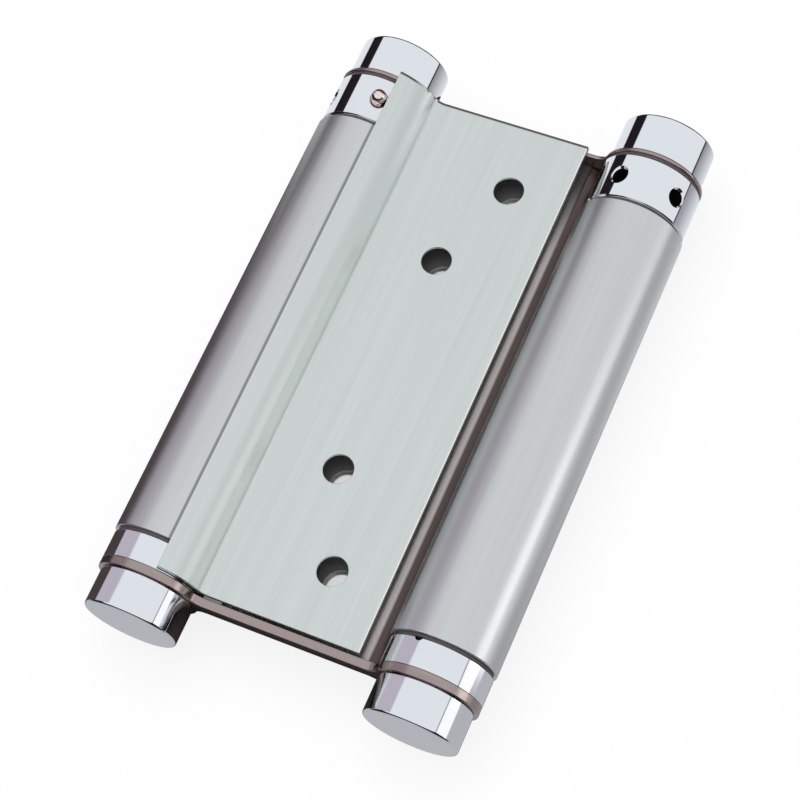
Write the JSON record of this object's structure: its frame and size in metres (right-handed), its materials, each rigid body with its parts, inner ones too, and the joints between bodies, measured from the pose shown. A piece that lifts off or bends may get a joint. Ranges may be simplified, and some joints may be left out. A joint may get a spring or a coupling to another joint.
{
  "type": "double action cafe hinge",
  "caption": "Double action spring hinge: sprung barrels joined by link plates, each with a leaf, adjusting collar and caps.",
  "frame": {"origin": "on the surface it lies on, under the middle of the closed hinge", "axes": "+X from the left to the right barrel, +Y along the barrels to the adjusting collars, +Z out of the front leaf"},
  "size_m": [0.071, 0.1178, 0.0228],
  "materials": {
    "satin_stainless": "satin",
    "polished_chrome": "polished",
    "link_steel": "satin",
    "plated_rod": "satin",
    "spring_steel": "satin",
    "dark_nylon": "matte"
  },
  "bodies": {
    "link_frame": {"lower_link_plate": "link_steel", "upper_link_plate": "link_steel", "left_spindle": "plated_rod", "left_anchor_collar": "polished_chrome", "left_lower_cap": "polished_chrome", "left_upper_cap": "polished_chrome", "left_torsion_spring": "spring_steel", "left_lower_tube_washer": "dark_nylon", "left_end_washer": "dark_nylon", "right_spindle": "plated_rod", "right_anchor_collar": "polished_chrome", "right_lower_cap": "polished_chrome", "right_upper_cap": "polished_chrome", "right_torsion_spring": "spring_steel", "right_lower_tube_washer": "dark_nylon", "right_end_washer": "dark_nylon"},
    "front_leaf": {"front_leaf": "satin_stainless", "left_barrel_tube": "satin_stainless", "left_upper_tube_washer": "dark_nylon"},
    "back_leaf": {"back_leaf": "satin_stainless", "right_barrel_tube": "satin_stainless", "right_upper_tube_washer": "dark_nylon"},
    "left_adjuster": {"left_adjusting_collar": "polished_chrome", "left_tension_pin": "plated_rod"},
    "right_adjuster": {"right_adjusting_collar": "polished_chrome", "right_tension_pin": "plated_rod"}
  },
  "joints": [
    {"name": "front_leaf_swing", "type": "hinge", "parent": "link_frame", "child": "front_leaf", "pos_m": [-0.026, 0, 0.0114], "axis": [0, -1, 0], "range_deg": [0, 180], "stiffness_Nm_per_rad": 0.3, "springref_deg": -89.95, "deforming": ["left_torsion_spring"]},
    {"name": "back_leaf_swing", "type": "hinge", "parent": "link_frame", "child": "back_leaf", "pos_m": [0.026, 0, 0.0114], "axis": [0, -1, 0], "range_deg": [0, 180], "stiffness_Nm_per_rad": 0.3, "springref_deg": -89.95, "deforming": ["right_torsion_spring"]},
    {"name": "left_collar_turn", "type": "hinge", "parent": "front_leaf", "child": "left_adjuster", "pos_m": [-0.026, 0, 0.0114], "axis": [0, -1, 0], "range_deg": [0, 90], "stiffness_Nm_per_rad": 0.3, "springref_deg": -89.95},
    {"name": "right_collar_turn", "type": "hinge", "parent": "back_leaf", "child": "right_adjuster", "pos_m": [0.026, 0, 0.0114], "axis": [0, -1, 0], "range_deg": [0, 90], "stiffness_Nm_per_rad": 0.3, "springref_deg": -89.95}
  ]
}
